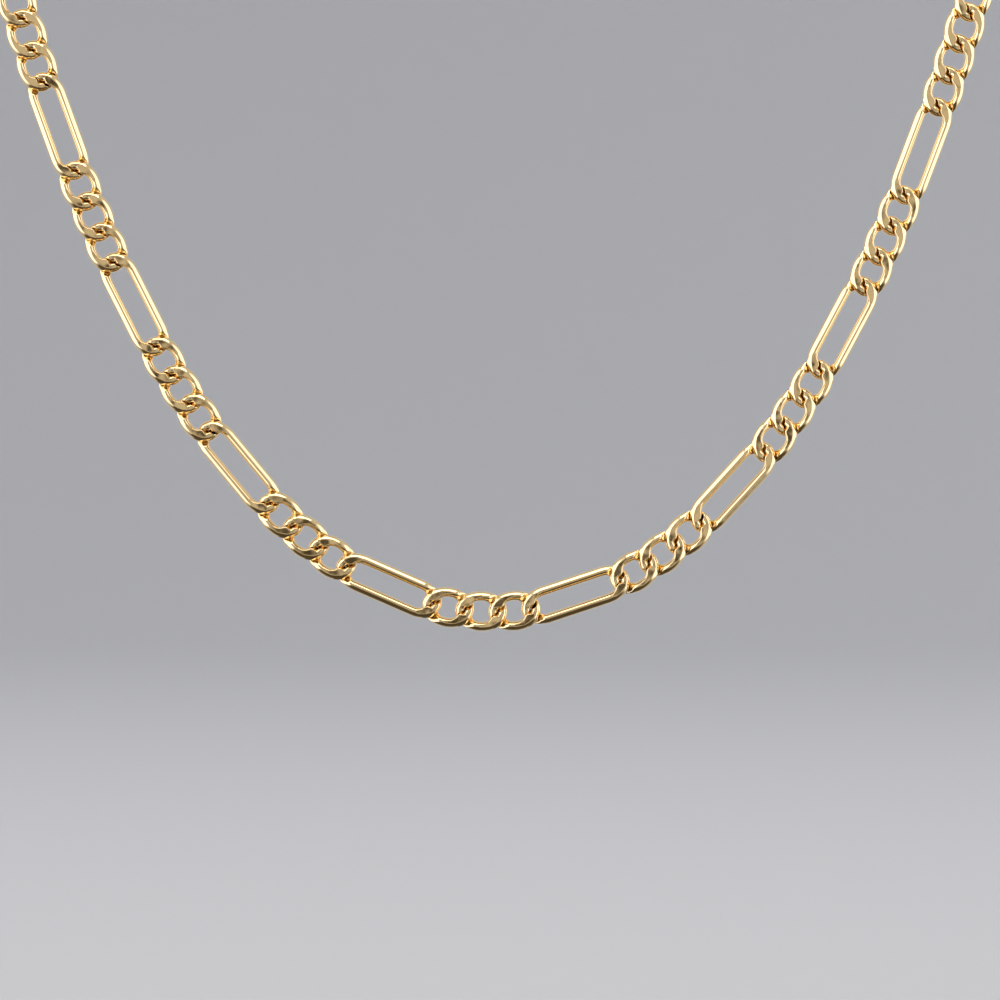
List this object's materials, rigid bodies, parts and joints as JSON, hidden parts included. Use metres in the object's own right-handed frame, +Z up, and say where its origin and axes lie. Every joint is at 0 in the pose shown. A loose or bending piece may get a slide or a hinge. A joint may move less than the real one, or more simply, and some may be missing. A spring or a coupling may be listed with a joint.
{
  "type": "figaro chain necklace",
  "caption": "Gold figaro chain necklace, short curb links in threes with long links between, hanging in a U with its clasp at the nape.",
  "frame": {"origin": "middle of the neck, at the centre of the half circle that lies round the nape", "axes": "+Z up, the hanging front faces -Y, +X is the wearer's left; metres"},
  "size_m": [0.1428, 0.0974, 0.1609],
  "materials": {
    "short_link_gold": "polished yellow gold with ground flats",
    "long_link_gold": "polished yellow gold with ground flats",
    "ring_gold": "polished yellow gold",
    "clasp_gold": "polished yellow gold"
  },
  "bodies": {
    "root": {"short_links": "short_link_gold", "long_links": "long_link_gold", "clasp_ring": "ring_gold", "clasp": "clasp_gold", "end_ring": "ring_gold"}
  },
  "joints": []
}
